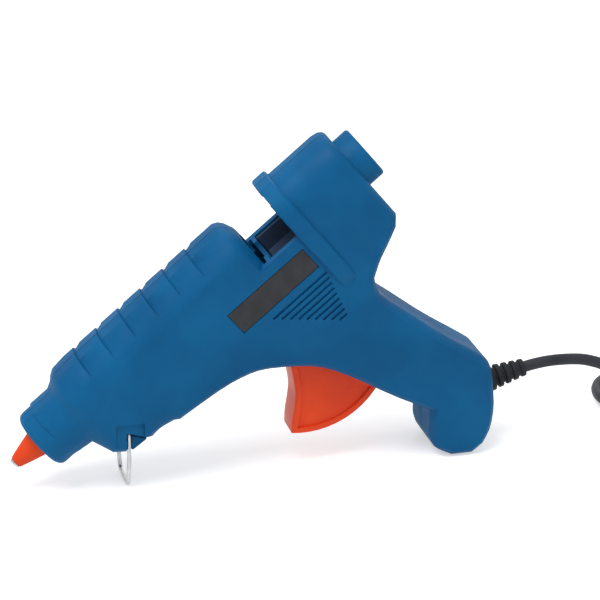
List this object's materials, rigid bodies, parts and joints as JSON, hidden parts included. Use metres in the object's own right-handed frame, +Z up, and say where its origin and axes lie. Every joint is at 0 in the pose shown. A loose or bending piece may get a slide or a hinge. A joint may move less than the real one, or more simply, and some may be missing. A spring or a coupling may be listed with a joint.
{
  "type": "hot glue gun",
  "caption": "Trigger-fed hot glue gun with a two-shell body, open stick trough, rubber-capped nozzle, fold-out wire stand and a mains lead tied in a hank.",
  "frame": {"origin": "on the bench, under the middle of the gun's length, midway between its two shells", "axes": "+X from the nozzle towards the mains lead, +Y across the gun to its screw side, +Z up from the bench"},
  "size_m": [0.3818, 0.0786, 0.139],
  "materials": {
    "body_blue": "fine matt moulded finish",
    "trigger_orange": "semi-matt moulded finish",
    "cap_orange": "matt silicone rubber",
    "aluminium": "cast and machined",
    "steel": "bright drawn or turned steel",
    "ceramic": "unglazed ceramic",
    "grey_rubber": "matt",
    "black_plastic": "fine matt moulded finish",
    "cord_sheath": "satin soft vinyl",
    "plate": "satin foil, left bare",
    "lead_red": "silicone sleeve",
    "lead_white": "silicone sleeve"
  },
  "bodies": {
    "housing": {"left_shell": "body_blue", "right_shell": "body_blue", "nozzle_cap": "cap_orange", "nozzle_tip": "steel", "melt_chamber": "aluminium", "heater_plate": "ceramic", "heater_clamp": "steel", "front_support": "ceramic", "rear_support": "ceramic", "inlet_sleeve": "grey_rubber", "sleeve_band": "steel", "stick_cradle": "black_plastic", "trigger_pin": "steel", "return_spring": "steel", "screw_nose": "steel", "screw_barrel": "steel", "screw_middle": "steel", "screw_block": "steel", "screw_grip": "steel", "screw_butt": "steel", "rating_plate": "plate", "strain_relief": "black_plastic", "cord_clamp": "black_plastic", "clamp_screw_1": "steel", "clamp_screw_2": "steel", "terminal_block": "ceramic", "cord_tail": "cord_sheath", "lead_live": "lead_red", "lead_neutral": "lead_white", "cord": "cord_sheath", "cord_hank": "cord_sheath", "hank_tie": "black_plastic", "plug_body": "black_plastic", "plug_pin_1": "steel", "plug_pin_2": "steel"},
    "trigger": {"trigger": "trigger_orange", "link_pin": "steel"},
    "link": {"link_arm": "steel"},
    "carriage": {"feed_carriage": "black_plastic", "carriage_pin": "steel", "gripper_pin": "steel"},
    "gripper": {"stick_gripper": "steel"},
    "stand": {"wire_stand": "steel"}
  },
  "joints": [
    {"name": "trigger_squeeze", "type": "hinge", "parent": "housing", "child": "trigger", "pos_m": [0.01984, 0, 0.0506], "axis": [0, -1, 0], "range_deg": [0, 18], "stiffness_Nm_per_rad": 0.6, "springref_deg": -11.46},
    {"name": "carriage_slide", "type": "slide", "parent": "housing", "child": "carriage", "axis": [-0.7727, 0, -0.6347], "range_m": [0, 0.00941], "deforming": ["return_spring"]},
    {"name": "link_swing", "type": "hinge", "parent": "trigger", "child": "link", "pos_m": [0.00466, 0, 0.07647], "axis": [0, -1, 0], "range_deg": [-18.1, 0]},
    {"name": "gripper_bite", "type": "hinge", "parent": "carriage", "child": "gripper", "pos_m": [0.03341, 0, 0.10382], "axis": [0, 1, 0], "range_deg": [0, 8.1]},
    {"name": "stand_fold", "type": "hinge", "parent": "housing", "child": "stand", "pos_m": [-0.05353, 0, 0.02537], "axis": [0, -1, 0], "range_deg": [0, 73]}
  ],
  "couplings": [
    {"joint": "carriage_slide", "follows": "trigger_squeeze", "m_per_rad": 0.029877},
    {"joint": "link_swing", "follows": "trigger_squeeze", "ratio": -1},
    {"joint": "gripper_bite", "follows": "trigger_squeeze", "ratio": 0.44444}
  ]
}
